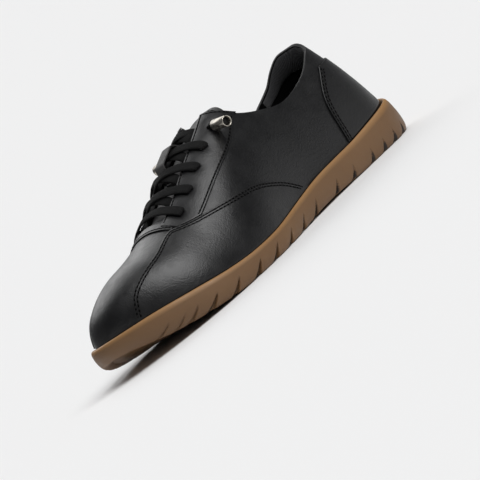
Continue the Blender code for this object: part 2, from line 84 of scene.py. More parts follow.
# along, toe spring, arch, side height, collar height outside and inside
heights = [
    (0.00, 0.08, 0.0, 1.26, 1.055, 1.055),
    (0.015, 0.03, 0.0, 1.25, 1.015, 1.055),
    (0.04, 0.00, 0.0, 1.24, 0.985, 1.00),
    (0.08, 0.00, 0.0, 1.19, 0.95, 0.905),
    (0.15, 0.00, 0.0, 1.09, 0.865, 0.835),
    (0.22, 0.00, 0.0, 1.01, 0.82, 0.780),
    (0.29, 0.00, 0.5, 0.95, 0.815, 0.775),
    (0.35, 0.00, 0.9, 0.90, 0.88, 0.855),
    (0.40, 0.00, 1.0, 0.85, 0.97, 0.97),
    (0.44, 0.00, 0.8, 0.81, 1.09, 1.10),
    (0.52, 0.00, 0.2, 0.75, 1.35, 1.35),
    (0.61, 0.00, 0.0, 0.69, 1.60, 1.60),
    (0.70, 0.00, 0.0, 0.71, 1.80, 1.80),
    (0.78, 0.04, 0.0, 0.80, 1.80, 1.80),
    (0.87, 0.24, 0.0, 0.88, 1.80, 1.80),
    (0.94, 0.52, 0.0, 0.86, 1.80, 1.80),
    (1.00, 1.00, 0.0, 0.60, 1.80, 1.80),
]
# soft creases of the leather: sides, from (along, turn), to (along, turn), half width, height (- is a trough)
creases = [
    ((1, -1), (0.700, 0.80), (0.742, 0.42), 0.0060, -0.00016),
    ((1, -1), (0.735, 0.86), (0.775, 0.52), 0.0055, 0.00012),
    ((1, -1), (0.765, 0.84), (0.800, 0.55), 0.0055, -0.00012),
    ((1, -1), (0.30, 0.62), (0.42, 0.50), 0.0090, -0.0005),
    ((1,), (0.44, 0.45), (0.55, 0.34), 0.0080, -0.0004),
    ((1,), (0.16, 0.60), (0.20, 0.35), 0.0080, -0.0004),
]
crease = dict(turnLength=0.11, reach=3.0)


def smooth(rows, column):
    xs = [row[0] for row in rows]
    ys = [row[column] for row in rows]
    end = len(xs) - 1
    slopes = [(ys[min(i + 1, end)] - ys[max(i - 1, 0)]) / (xs[min(i + 1, end)] - xs[max(i - 1, 0)])
              for i in range(len(xs))]

    @functools.lru_cache(maxsize=None)
    def value(x):
        x = min(max(x, xs[0]), xs[-1])
        i = max(k for k in range(end) if x >= xs[k])
        width = xs[i + 1] - xs[i]
        t = (x - xs[i]) / width
        level = ys[i] + (ys[i + 1] - ys[i]) * t * t * (3 - 2 * t)
        return level + width * t * (1 - t) * (slopes[i] * (1 - t) - slopes[i + 1] * t)

    return value


middleShare, halfShare, crestShare, ridgeShare, fullness = (smooth(sections, k) for k in range(1, 6))
springShare, archShare, thickShare = (smooth(heights, k) for k in range(1, 4))
collarShare = {1: smooth(heights, 4), -1: smooth(heights, 5)}


def ease(t):
    t = min(max(t, 0.0), 1.0)
    return t * t * (3 - 2 * t)


def roundEnd(distance, reach):
    t = 1 - min(max(distance / reach, 0.0), 1.0)
    return math.sqrt(1 - t * t)


def eased(station):
    return (1 - math.cos(math.pi * station)) / 2


def stationAt(distance):
    return math.acos(1 - 2 * distance / sole["length"]) / math.pi


def under(along):
    return max(springShare(along) * sole["toeSpring"] + archShare(along) * sole["archRise"], 0.0)


def sideTop(along):
    return under(along) + thickShare(along) * sole["sideHeight"]


def cupFloor(along):
    return under(along) + sole["floor"]


def middleLine(along):
    return middleShare(along) * last["ballWidth"] - last["sideways"]


def halfWidth(along, inset):
    length = sole["length"] - 2 * inset
    wider = ease((along - last["widensFrom"]) / last["widensOver"])
    local = last["heelWidth"] + (last["ballWidth"] - last["heelWidth"]) * wider
    half = halfShare(along) * local - inset
    half *= roundEnd(along * length, last["heelRound"] - inset)
    return half * roundEnd((1 - along) * length, last["toeRound"] - inset)


def outline(along, side, inset):
    # side is a share of the half width from -1 to 1
    length = sole["length"] - 2 * inset
    return length * (along - 0.5), middleLine(along) + side * halfWidth(along, inset)


@functools.lru_cache(maxsize=None)
def sectionAt(station):
    along = eased(station)
    inset = sole["lip"] + last["gap"]
    x, _ = outline(along, 1, inset)
    base = cupFloor(along) + last["gap"]
    toToe = (1 - along) * (sole["length"] - 2 * inset)
    rise = (ridgeShare(along) * last["instepHeight"] - sole["floor"]) * roundEnd(toToe, last["toeRoof"])
    crest = (crestShare(along) - middleShare(along)) * last["ballWidth"]
    lean = last["heelLean"] * (1 - ease(along / last["leanOver"]))
    return x, middleLine(along), halfWidth(along, inset), base, rise, fullness(along), crest, lean


def surface(station, turn, side):
    # station runs from the heel to the toe, turn from the sole's edge to the ridge
    x, middle, half, base, rise, full, crest, lean = sectionAt(station)
    across, up = max(math.cos(turn * math.pi / 2), 0.0), math.sin(turn * math.pi / 2)
    size = (across ** full + up ** full) ** (1 / full)
    across, up = across / size, up / size
    level = rise * up / (last["heelHeight"] - sole["floor"])
    return Vector((
        x + lean * max(level, 0.0) ** last["leanCurve"],
        middle + side * half * across + crest * up * up,
        base + rise * up,
    ))


def nearby(station, turn, side):
    # how the surface moves over a small step of station and of turn, and the two steps
    s0, s1 = max(station - smallStep, 0.0), min(station + smallStep, 1.0)
    t0, t1 = max(turn - smallStep, 0.0), min(turn + smallStep, 1.0)
    run = surface(s1, turn, side) - surface(s0, turn, side)
    climb = surface(station, t1, side) - surface(station, t0, side)
    return run, climb, s1 - s0, t1 - t0


def outward(station, turn, side):
    run, climb, _, _ = nearby(station, turn, side)
    return (run.cross(climb) * -side).normalized()


def creaseLift(station, turn, side):
    here = Vector((eased(station) * sole["length"], turn * crease["turnLength"]))
    lift = 0.0
    for creaseSides, start, end, width, height in creases:
        if side not in creaseSides:
            continue
        a, b = (Vector((along * sole["length"], up * crease["turnLength"])) for along, up in (start, end))
        share = min(max((here - a).dot(b - a) / (b - a).length_squared, 0.0), 1.0)
        away = (here - a - (b - a) * share).length / width
        if away < crease["reach"]:
            lift += height * math.exp(-away * away)
    return lift


def leather(station, turn, side, lift=0.0):
    normal = outward(station, turn, side)
    return surface(station, turn, side) + normal * (lift + creaseLift(station, turn, side))


def findTurn(passed):
    low, high = 0.0, 1.0
    for _ in range(halvings):
        half = (low + high) / 2
        if passed(half):
            high = half
        else:
            low = half
    return high


@functools.lru_cache(maxsize=None)
def turnAtHeight(station, side, height):
    return findTurn(lambda turn: surface(station, turn, side).z > height)


@functools.lru_cache(maxsize=None)
def turnAcross(station, side, distance):
    ridge = surface(station, 1.0, side).y
    return findTurn(lambda turn: abs(surface(station, turn, side).y - ridge) < distance)


def sideOf(across):
    return 1 if across >= 0 else -1


def acrossPlace(station, across, lift):
    # place and normal at a signed distance across from the ridge
    side = sideOf(across)
    turn = turnAcross(station, side, abs(across))
    return leather(station, turn, side, lift), outward(station, turn, side)


def widened(distance, atTop, atEnd):
    # a width that grows along the facing, quickly at its top and slowly at its end
    ahead = (distance - throat["top"]) / (throat["end"] - throat["top"])
    return atEnd + (atTop - atEnd) * (1 - min(ahead, 1.0)) ** 3


def facingEdge(distance):
    return widened(distance, throat["gapTop"], throat["gap"]) / 2


def rowDistance(row):
    return lace["first"] - row * lace["pitch"]


def eyeletStation(row):
    return stationAt(rowDistance(row))


def eyeletAcross(row):
    return facingEdge(rowDistance(row)) + throat["inset"]


@functools.lru_cache(maxsize=None)
def topEdge(station, side):
    along = eased(station)
    distance = along * sole["length"]
    if distance >= throat["closes"]:
        return 1.0
    collar = turnAtHeight(station, side, collarShare[side](along) * last["heelHeight"])
    if distance < throat["top"] - throat["run"]:
        return collar
    gapHalf = facingEdge(distance) * roundEnd(throat["closes"] - distance, throat["closeRound"])
    edge = turnAcross(station, side, gapHalf)
    reach = throat["meeting"]
    h = max(reach - abs(collar - edge), 0.0) / reach
    return min(collar, edge) - h * h * reach / 4


def stationLine(first, end, count):
    return [first + (end - first) * i / count for i in range(count + 1)]


def stations(first, end, count):
    # even stations from one place to the other, with more of them where the throat opens and closes
    marks = [throat["top"] + throat["corner"] * k / throat["cornerSteps"] for k in range(-9, 10)]
    marks += [throat["closes"] - throat["closeRound"] * share for share in throat["closeSteps"]]
    fixed = [stationAt(mark) for mark in marks]
    near = throat["nearest"] * (end - first) / count
    kept = [s for s in fixed if first + near < s < end - near]
    kept += [s for s in stationLine(first, end, count)[1:-1] if min(abs(s - f) for f in fixed) > near]
    return [first] + sorted(kept) + [end]


def pointBetween(points, i, t):
    # a place on a smooth curve through the points, t of the way from one point to the next
    around = points[max(i - 1, 0)], points[i], points[i + 1], points[min(i + 2, len(points) - 1)]
    return [0.5 * (2 * b + (c - a) * t + (2 * a - 5 * b + 4 * c - d) * t * t
                   + (3 * b - a - 3 * c + d) * t * t * t) for a, b, c, d in zip(*around)]


# modelling helpers

def addObject(name, data):
    made = bpy.data.objects.new(name, data)
    bpy.context.scene.collection.objects.link(made)
    return made


def meshOf(name, bm):
    mesh = bpy.data.meshes.new(name)
    bm.to_mesh(mesh)
    bm.free()
    return mesh


def makeObject(name, bm, materials):
    mesh = meshOf(name, bm)
    mesh.shade_smooth()
    for material in materials:
        mesh.materials.append(material)
    piece = addObject(name, mesh)
    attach(piece, "root")
    return piece


def newBmesh():
    bm = bmesh.new()
    bm.loops.layers.uv.new("flat")
    return bm


def addSheet(bm, columns, rows, place, flip=False):
    # a grid whose points are moved to place(column, row)
    made = bmesh.ops.create_grid(bm, x_segments=columns, y_segments=rows, size=1.0, calc_uvs=True)["verts"]
    for vert in made:
        column = round((vert.co.x + 1) / 2 * columns)
        row = round((vert.co.y + 1) / 2 * rows)
        vert.co = place(column, row)
    if flip:
        bmesh.ops.reverse_faces(bm, faces=list({face for vert in made for face in vert.link_faces}))


def joinPoints(bm, distance=joinDistance):
    bmesh.ops.remove_doubles(bm, verts=bm.verts, dist=distance)


def faceOutward(bm):
    bmesh.ops.recalc_face_normals(bm, faces=bm.faces)


def makeSheet(name, columns, rows, place, material, flip=False, join=False, faceOut=False):
    bm = newBmesh()
    addSheet(bm, columns, rows, place, flip)
    if join:
        joinPoints(bm)
    if faceOut:
        faceOutward(bm)
    return makeObject(name, bm, [material])


def thicken(piece, wall, offset, bevel, innerMaterial=0, rimMaterial=0):
    solid = piece.modifiers.new("Wall", "SOLIDIFY")
    solid.thickness = wall
    solid.offset = offset
    solid.use_even_offset = False
    solid.material_offset = innerMaterial
    solid.material_offset_rim = rimMaterial
    soft = piece.modifiers.new("Edge", "BEVEL")
    soft.width = bevel
    soft.segments = 2
    soft.limit_method = "ANGLE"
    soft.angle_limit = math.radians(50)
    soft.use_clamp_overlap = True


def punch(piece, cutter):
    # cuts the holes and applies the modifiers, so that the cutter can go
    cut = piece.modifiers.new("Holes", "BOOLEAN")
    cut.operation = "DIFFERENCE"
    cut.solver = "EXACT"
    cut.object = cutter
    graph = bpy.context.evaluated_depsgraph_get()
    mesh = bpy.data.meshes.new_from_object(piece.evaluated_get(graph))
    mesh.name = piece.name
    piece.modifiers.clear()
    old = piece.data
    piece.data = mesh
    bpy.data.meshes.remove(old)


def drop(obj):
    mesh = obj.data
    bpy.data.objects.remove(obj)
    bpy.data.meshes.remove(mesh)


# materials

def newMaterial(name):
    material = bpy.data.materials.new(name)
    material.use_nodes = True
    tree = material.node_tree
    return material, tree, tree.nodes["Principled BSDF"]


def setInputs(made, values):
    # a value that is another node's output is linked, any other value is set
    for key, value in values.items():
        if isinstance(value, bpy.types.NodeSocket):
            made.id_data.links.new(value, made.inputs[key])
        else:
            made.inputs[key].default_value = value


def addNode(tree, kind, values, **settings):
    made = tree.nodes.new("ShaderNode" + kind)
    for key, value in settings.items():
        setattr(made, key, value)
    setInputs(made, values)
    return made


def objectCoords(tree):
    return addNode(tree, "TexCoord", {}).outputs["Object"]


def calculated(tree, operation, *values):
    return addNode(tree, "Math", dict(enumerate(values)), operation=operation).outputs[0]


def mixColour(tree, factor, first, second):
    first, second = ((*value, 1.0) if isinstance(value, tuple) else value for value in (first, second))
    return addNode(tree, "Mix", {"Factor": factor, 6: first, 7: second}, data_type="RGBA").outputs[2]


def ranged(tree, value, low, high, outLow=0.0, outHigh=1.0):
    limits = {"Value": value, "From Min": low, "From Max": high, "To Min": outLow, "To Max": outHigh}
    return addNode(tree, "MapRange", limits).outputs["Result"]


def noiseOf(tree, coords, scale, detail):
    values = {"Vector": coords, "Scale": scale, "Detail": detail, "Roughness": 0.55}
    return addNode(tree, "TexNoise", values).outputs["Fac"]


def bumpOf(tree, height, strength, distance, below=None):
    values = {"Height": height, "Strength": strength, "Distance": distance}
    if below:
        values["Normal"] = below
    return addNode(tree, "Bump", values).outputs["Normal"]


def makeLeather(name, dark, light, roughness, grain=0.35):
    material, tree, shader = newMaterial(name)
    coords = objectCoords(tree)
    cloudy = ranged(tree, noiseOf(tree, coords, 38.0, 4.0), 0.35, 0.7)
    patchy = noiseOf(tree, coords, 120.0, 5.0)
    cells = addNode(tree, "TexVoronoi", {"Vector": coords, "Scale": 1150.0})
    pores = bumpOf(tree, cells.outputs["Distance"], grain, 0.00022)
    setInputs(shader, {
        "Base Color": mixColour(tree, cloudy, dark, light),
        "Roughness": ranged(tree, patchy, 0.3, 0.7, roughness - 0.05, roughness + 0.07),
        "Normal": bumpOf(tree, noiseOf(tree, coords, 420.0, 4.0), grain, 0.00030, pores),
    })
    return material


def makeGum(name):
    # a painted highlight along the lip and painted shade in the slits, read from the sole's own attributes
    material, tree, shader = newMaterial(name)
    coords = objectCoords(tree)
    level, cut = (addNode(tree, "Attribute", {}, attribute_name=word).outputs["Fac"] for word in ("level", "cut"))
    cloudy = ranged(tree, noiseOf(tree, coords, 22.0, 5.0), 0.3, 0.7)
    body = mixColour(tree, cloudy, (0.146, 0.077, 0.033), (0.174, 0.094, 0.041))
    # painted highlight: the top of the sole's side, below the lip, is made lighter
    lipHighlight = mixColour(tree, ranged(tree, level, 0.80, 0.97), body, (0.300, 0.160, 0.060))
    fine = bumpOf(tree, noiseOf(tree, coords, 900.0, 3.0), 0.22, 0.00020)
    setInputs(shader, {
        # painted shade: the slits are darkened as deep as they cut
        "Base Color": mixColour(tree, ranged(tree, cut, 0.15, 0.75), lipHighlight, (0.016, 0.009, 0.005)),
        "Roughness": ranged(tree, noiseOf(tree, coords, 90.0, 4.0), 0.3, 0.7, 0.46, 0.62),
        "Normal": bumpOf(tree, noiseOf(tree, coords, 160.0, 3.0), 0.18, 0.00050, fine),
        "Subsurface Weight": 0.08,
        "Subsurface Radius": (0.004, 0.002, 0.001),
        "Subsurface Scale": 1.0,
    })
    return material


def makeCloth(name, dark, light, scale, strength, sheen=0.0):
    # two crossed waves make a plain weave
    material, tree, shader = newMaterial(name)
    values = {"Vector": objectCoords(tree), "Scale": scale, "Distortion": 1.2, "Detail Scale": 2.0}
    waves = [addNode(tree, "TexWave", values, bands_direction=word).outputs["Fac"] for word in ("X", "Z")]
    weave = calculated(tree, "MULTIPLY", *waves)
    setInputs(shader, {
        "Base Color": mixColour(tree, weave, dark, light),
        "Normal": bumpOf(tree, weave, strength, 0.0004),
        "Roughness": 0.9,
        "Specular IOR Level": 0.08,
        "Sheen Weight": sheen,
    })
    return material


def makeLaceCloth(name):
    # diagonal ribs that meet along the middle, read from the lace's own length and width
    ribPitch = 0.00045
    material, tree, shader = newMaterial(name)
    flat = addNode(tree, "UVMap", {}, uv_map="flat").outputs["UV"]
    split = addNode(tree, "SeparateXYZ", {"Vector": flat}).outputs
    slanted = calculated(tree, "ADD", split["X"], calculated(tree, "ABSOLUTE", split["Y"]))
    ribs = ranged(tree, calculated(tree, "PINGPONG", slanted, ribPitch), 0.0, ribPitch)
    setInputs(shader, {
        "Base Color": mixColour(tree, ribs, (0.0015, 0.0015, 0.0015), (0.0065, 0.0065, 0.0065)),
        "Normal": bumpOf(tree, ribs, 0.7, 0.0003),
        "Roughness": 0.9,
        "Specular IOR Level": 0.25,
    })
    return material


def makeMetal(name):
    material, tree, shader = newMaterial(name)
    streaks = noiseOf(tree, objectCoords(tree), 700.0, 2.0)
    setInputs(shader, {
        "Base Color": mixColour(tree, streaks, (0.40, 0.37, 0.32), (0.58, 0.55, 0.49)),
        "Roughness": ranged(tree, streaks, 0.3, 0.7, 0.26, 0.38),
        "Metallic": 1.0,
    })
    return material


def makePlain(name, colour, roughness, specular):
    material, tree, shader = newMaterial(name)
    fine = noiseOf(tree, objectCoords(tree), 1500.0, 2.0)
    shade = tuple(c * 0.6 for c in colour)
    setInputs(shader, {
        "Base Color": mixColour(tree, fine, shade, colour),
        "Roughness": roughness,
        "Specular IOR Level": specular,
    })
    return material


upperLeather = makeLeather("upperLeather", (0.0034, 0.0034, 0.0038), (0.0062, 0.0062, 0.0068), 0.37)
panelLeather = makeLeather("panelLeather", (0.0040, 0.0040, 0.0044), (0.0072, 0.0072, 0.0078), 0.35, 0.30)
rimLeather = makeLeather("rimLeather", (0.0020, 0.0020, 0.0022), (0.0035, 0.0035, 0.0038), 0.75)
tongueLeather = makeLeather("tongueLeather", (0.030, 0.029, 0.029), (0.046, 0.045, 0.045), 0.60, 0.6)
lining = makeCloth("lining", (0.001, 0.001, 0.001), (0.003, 0.003, 0.003), 420.0, 0.5)
patchCloth = makeCloth("patchCloth", (0.030, 0.030, 0.032), (0.100, 0.100, 0.104), 520.0, 0.8, 0.2)
insoleCloth = makeCloth("insoleCloth", (0.008, 0.008, 0.008), (0.022, 0.022, 0.022), 380.0, 0.6)
gum = makeGum("gum")
laceCloth = makeLaceCloth("laceCloth")
thread = makePlain("thread", (0.0030, 0.0030, 0.0030), 0.70, 0.35)
# painted shade: a dark strip along each stitch groove
stitchShade = makePlain("stitchShade", (0.0010, 0.0010, 0.0010), 0.95, 0.05)
metal = makeMetal("metal")
print("materials made")


# camera and light, first, set in the photograph's frame

view = dict(
    azimuth=40.137, elevation=5.273, roll=38.754, distance=3.0, lens=360.7, sensor=36.0, near=0.1, far=200.0,
    aim=(-0.080, -0.00134, 0.0), shiftRight=-0.06367, shiftDown=0.03570,
)
light = dict(
    sky=0.11, skyColour=(0.97, 0.98, 1.0, 1.0), floorTone=0.865, floorRadius=40.0,
    mainStrength=2.55, mainAngle=48, mainFrom=(-0.03, 0.57, 0.82),
    rimStrength=1.15, rimAngle=52, rimFrom=(-0.36, -0.66, 0.66),
)


def makeCamera():
    azimuth, elevation, roll = (math.radians(view[key]) for key in ("azimuth", "elevation", "roll"))
    level = math.cos(elevation)
    toCamera = Vector((math.sin(azimuth) * level, math.cos(azimuth) * level, math.sin(elevation)))
    right = Vector((-math.cos(azimuth), math.sin(azimuth), 0.0))
    up = toCamera.cross(right)
    if up.z < 0:
        up = -up
    across = right * math.cos(roll) - up * math.sin(roll)
    down = -(right * math.sin(roll) + up * math.cos(roll))
    target = Vector(view["aim"]) + across * view["shiftRight"] + down * view["shiftDown"]
    data = bpy.data.cameras.new("camera")
    data.lens = view["lens"]
    data.sensor_width = view["sensor"]
    data.clip_start = view["near"]
    data.clip_end = view["far"]
    camera = addObject("camera", data)
    turned = Matrix((across, -down, toCamera)).transposed().to_4x4()
    turned.translation = target + toCamera * view["distance"]
    camera.matrix_world = turned
    bpy.context.scene.camera = camera


def makeLights():
    world = bpy.data.worlds.new("studio")
    world.use_nodes = True
    setInputs(world.node_tree.nodes["Background"], {"Color": light["skyColour"], "Strength": light["sky"]})
    bpy.context.scene.world = world
    for name in ("main", "rim"):
        lamp = bpy.data.lights.new(name, "SUN")
        lamp.energy = light[name + "Strength"]
        lamp.angle = math.radians(light[name + "Angle"])
        placed = addObject(name, lamp)
        placed.location = light[name + "From"]
        placed.rotation_mode = "QUATERNION"
        placed.rotation_quaternion = Vector(light[name + "From"]).to_track_quat("Z", "Y")
    bpy.context.scene.view_settings.view_transform = "Standard"


def makeFloor():
    material, _, shader = newMaterial("paper")
    tone = light["floorTone"]
    setInputs(shader, {"Base Color": (tone, tone, tone, 1.0), "Roughness": 0.95, "Specular IOR Level": 0.1})
    bm = bmesh.new()
    bmesh.ops.create_circle(bm, cap_ends=True, radius=light["floorRadius"], segments=64)
    mesh = meshOf("floor", bm)
    mesh.materials.append(material)
    floor = addObject("floor", mesh)


makeCamera()
makeLights()
makeFloor()
print("camera, light and floor made")


# sole

# its side, from under the foot up the outside, over the lip and down into the cup: inset, level
soleRings = [
    (0.0086, 0.06), (0.0082, 0.0), (0.0034, 0.00), (0.0014, 0.07), (0.0004, 0.24), (0.0000, 0.50),
    (0.0003, 0.78), (0.0008, 0.90), (0.0014, 0.965), (0.0024, 1.00), (0.0034, 0.97), (0.0040, 0.90),
]
# distances from the heel; the slits shrink twice on the way to the toe: from, over, by
slitPlaces = [
    0.010, 0.022, 0.034, 0.046, 0.060, 0.081, 0.101, 0.129, 0.148,
    0.168, 0.187, 0.206, 0.226, 0.243, 0.255, 0.262, 0.270,
]
slit = dict(
    height=0.0082, width=0.0044, depth=0.0036, leanHeel=4, leanToe=50, leanRun=0.17, bend=0.3, reach=0.03,
    point=1.08, taper=1.4, flat=2.5, fade=3, shrinks=((0.185, 0.05, 0.25), (0.247, 0.014, 0.45)),
    shadeFrom=0.0004,
)
tread = dict(
    columns=360, rows=70, inset=0.0081, pitch=0.0085, depth=0.0011, wave=0.0030, waveRun=0.0075,
    land=0.72, slope=0.2, sideRim=0.002, endRim=0.003, fadeFrom=0.15, fadeOver=0.35, lift=0.0001, rimLift=0.0002,
)


def ringProfile(position):
    # inset and level at a place on the side's profile, rounded between its rings
    i = min(int(position), len(soleRings) - 2)
    return pointBetween(soleRings, i, position - i)


def slitDent(distance, above):
    # how deep a slit cuts at a distance from the heel and a height above the sole's edge
    if above > slit["height"]:
        return 0.0
    share = above / slit["height"]
    deepest = 0.0
    for place in slitPlaces:
        if abs(place - distance) > slit["reach"]:
            continue
        leaning = ease(place / slit["leanRun"])
        lean = math.radians(slit["leanHeel"] + (slit["leanToe"] - slit["leanHeel"]) * leaning)
        centre = place - above * math.tan(lean) + slit["height"] * slit["bend"] * (share - 0.5) ** 2
        size = 1
        for start, over, less in slit["shrinks"]:
            size -= less * ease((place - start) / over)
        half = size * slit["width"] / 2 * (slit["point"] - share) ** slit["taper"] / math.cos(lean)
        away = abs(distance - centre) / half
        if away < 1.0:
            deepest = max(deepest, size * (1 - away ** slit["flat"]) * min(1.0, (1 - share) * slit["fade"]))
    return deepest * slit["depth"]


def makeSoleSide():
    rows = (len(soleRings) - 1) * sole["perRing"]
    profile = [ringProfile(r / sole["perRing"]) for r in range(rows + 1)]

    def place(column, row):
        share = column / sole["columns"]
        side = 1 if share <= 0.5 else -1
        along = eased(2 * share if share <= 0.5 else 2 - 2 * share)
        high = sideTop(along) - under(along)
        if row > rows:
            inset = sole["lip"]
            height = cupFloor(along) if row == rows + 2 else under(along) + sole["lipStep"] * high
        else:
            inset, level = profile[row]
            height = under(along) + level * high
            if row > sole["perRing"]:
                inset += slitDent(along * sole["length"], height - under(along))
        x, y = outline(along, side, inset)
        return Vector((x, y, height))

    bm = newBmesh()
    addSheet(bm, sole["columns"], rows + 2, place)
    joinPoints(bm)
    faceOutward(bm)
    levels = bm.verts.layers.float.new("level")
    slitShadeLayer = bm.verts.layers.float.new("cut")
    for vert in bm.verts:
        along = vert.co.x / sole["length"] + 0.5
        above = vert.co.z - under(along)
        # the height share places the painted highlight along the lip
        vert[levels] = above / max(sideTop(along) - under(along), 1e-4)
        # the slit's depth, which sets the painted shade in the slits
        if above > slit["shadeFrom"]:
            vert[slitShadeLayer] = slitDent(along * sole["length"], above) / slit["depth"]
    outsole = makeObject("outsoleSide", bm, [gum])
    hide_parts("outsole")


def treadPlace(column, row):
    # the middle of the underside, with waved grooves across it
    along = eased(column / tread["columns"])
    share = row / tread["rows"] * 2 - 1
    x, y = outline(along, share, tread["inset"])
    wave = x + tread["wave"] * math.sin(y / tread["waveRun"])
    groove = 0.5 + 0.5 * math.cos(math.tau * wave / tread["pitch"])
    cut = ease((groove - tread["land"]) / tread["slope"]) * tread["depth"]
    rim = ease((1 - abs(share)) * halfWidth(along, tread["inset"]) / tread["sideRim"])
    rim *= ease(min(along, 1 - along) * sole["length"] / tread["endRim"])
    rim *= 1 - ease((springShare(along) - tread["fadeFrom"]) / tread["fadeOver"])
    return Vector((x, y, under(along) + tread["lift"] + cut * rim + (1 - rim) * tread["rimLift"]))


def cupPlace(column, row):
    along = eased(column / sole["cupColumns"])
    return Vector((*outline(along, row / sole["cupRows"] * 2 - 1, sole["lip"]), cupFloor(along)))


makeSoleSide()
makeSheet("outsoleTread", tread["columns"], tread["rows"], treadPlace, gum, flip=True, join=True)
makeSheet("outsoleCup", sole["cupColumns"], sole["cupRows"], cupPlace, gum, join=True)
print("sole made")


# upper

# top edge of the side panel: along, height as a share of the instep
panelEdge = [
    (0.412, 0.175), (0.435, 0.245), (0.475, 0.334), (0.548, 0.425), (0.655, 0.480), (0.712, 0.508),
    (0.742, 0.530), (0.765, 0.548), (0.833, 0.501), (0.880, 0.474), (0.915, 0.440), (0.940, 0.395),
    (0.955, 0.335), (0.966, 0.260),
]
# front edge of the heel counter: height as a share of the heel, reach as a share of the sole
counterEdge = [(0.25, 0.219), (0.51, 0.193), (0.65, 0.163), (0.82, 0.098)]
panelShare = smooth(panelEdge, 1)
counterReach = smooth(counterEdge, 1)
shell = dict(
    columns=230, rows=52, toeEnd=0.985, join=5e-6, bevel=0.0007, pinLength=0.012,
    dentDepth=0.00055, dentWidth=0.0048, dentReach=0.014,
)
panel = dict(
    columns=150, rows=40, facingColumns=110, facingRows=26, counterColumns=90, counterRows=36,
    bevel=0.00035, leastTurn=0.002, facingTurn=0.004,
)
# the strip across the foot of the throat, and its row of stitches
band = dict(
    columns=10, rows=60, half=0.0235, front=0.2145, frontBow=0.0010, back=0.0006, backBow=0.0040, lift=0.3,
    thick=0.0008, bevel=0.0003, seam=0.2130, seamHalf=0.0225, seamLift=0.00095, seamSteps=60,
)


def makePins():
    bm = bmesh.new()
    for side, _ in sides:
        for row in range(lace["rows"]):
            station = eyeletStation(row)
            turn = turnAcross(station, side, eyeletAcross(row))
            turned = outward(station, turn, side).to_track_quat("Z", "Y").to_matrix().to_4x4()
            turned.translation = surface(station, turn, side)
            bmesh.ops.create_cone(bm, cap_ends=True, segments=24, radius1=lace["hole"] / 2,
                                  radius2=lace["hole"] / 2, depth=shell["pinLength"], matrix=turned)
    return addObject("pins", meshOf("pins", bm))


def makeUpper(pins):
    line = stations(0.0, shell["toeEnd"], shell["columns"])
    bm = newBmesh()
    for side, _ in sides:
        def place(column, row):
            station = line[column]
            turn = topEdge(station, side) * row / shell["rows"]
            return leather(station, turn, side)

        addSheet(bm, len(line) - 1, shell["rows"], place, flip=side > 0)
    joinPoints(bm, shell["join"])
    upper = makeObject("upperShell", bm, [upperLeather, lining, rimLeather])
    thicken(upper, last["wall"], -1, shell["bevel"], innerMaterial=1, rimMaterial=2)
    punch(upper, pins)
    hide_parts("upper")


@functools.lru_cache(maxsize=None)
def eyeletPlace(row, side):
    station = eyeletStation(row)
    return surface(station, turnAcross(station, side, eyeletAcross(row)), side)


def dimple(station, turn, side):
    # the leather is drawn down a little round every lace hole
    here = surface(station, turn, side)
    lift = 0.0
    for row in range(lace["rows"]):
        away = (here - eyeletPlace(row, side)).length
        if away < shell["dentReach"]:
            lift -= shell["dentDepth"] * math.exp(-(away / shell["dentWidth"]) ** 2)
    return lift


def makePatch(name, line, rows, edges, side, replaced, extra=None, pins=None):
    def place(column, row):
        station = line[column]
        low, high = edges(station)
        turn = low + max(high - low, panel["leastTurn"]) * row / rows
        lift = last["seamGap"] + (extra(station, turn, side) if extra else 0.0)
        return leather(station, turn, side, lift)

    patch = makeSheet(name, len(line) - 1, rows, place, panelLeather, flip=side > 0)
    thicken(patch, last["overlay"], 1, panel["bevel"])
    if pins:
        punch(patch, pins)
    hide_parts(replaced)


def lipTurn(station, side):
    return turnAtHeight(station, side, sideTop(eased(station)) + last["gap"])


def panelTurn(station, side, gap=0.0):
    return turnAtHeight(station, side, panelShare(eased(station)) * last["instepHeight"] + gap)


def panelLine(short, count):
    first, end = (panelEdge[0][0] + short) * sole["length"], (panelEdge[-1][0] - short) * sole["length"]
    return stationLine(stationAt(first), stationAt(end), count)


def makeSidePanel(name, side, replaced):
    line = panelLine(0.0, panel["columns"])
    makePatch(name, line, panel["rows"], lambda s: (lipTurn(s, side), panelTurn(s, side)), side, replaced)


def throatLine(before, short, count):
    # from a distance before the throat's top to a distance short of its end
    return stationLine(stationAt(throat["top"] - before), stationAt(throat["end"] - short), count)


def facingEdges(station, side):
    distance = eased(station) * sole["length"]
    width = throat["inset"] + widened(distance, throat["marginTop"], throat["margin"])
    rear = turnAcross(station, side, facingEdge(distance) + width)
    gap = turnAcross(station, side, facingEdge(distance))
    low = max(rear, panelTurn(station, side, 2 * last["gap"]))
    high = min(gap, topEdge(station, side))
    return min(low, high - panel["facingTurn"]), high


def makeFacing(name, side, replaced, pins):
    line = throatLine(throat["reach"], 0.0, panel["facingColumns"])
    makePatch(name, line, panel["facingRows"], lambda s: facingEdges(s, side), side, replaced,
              extra=dimple, pins=pins)


def counterPlace(across, level):
    # across runs from -1 on the inner side round the heel to 1 on the outer side
    side = sideOf(across)
    top = counterEdge[-1][0] * last["heelHeight"]

    def heightAt(along):
        low = sideTop(along) + last["gap"]
        return low + (top - low) * level

    front = stationAt(counterReach(heightAt(counterEdge[0][1]) / last["heelHeight"]) * sole["length"])
    station = front * abs(across)
    turn = turnAtHeight(station, side, heightAt(eased(station)))
    return station, turn, side


def makeCounter():
    columns, rows = panel["counterColumns"], panel["counterRows"]

    def place(column, row):
        return leather(*counterPlace(column / columns * 2 - 1, row / rows), last["seamGap"])

    counter = makeSheet("heelCounter", columns, rows, place, panelLeather, flip=True)
    thicken(counter, last["overlay"], 1, panel["bevel"])
    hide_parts("heel_counter")


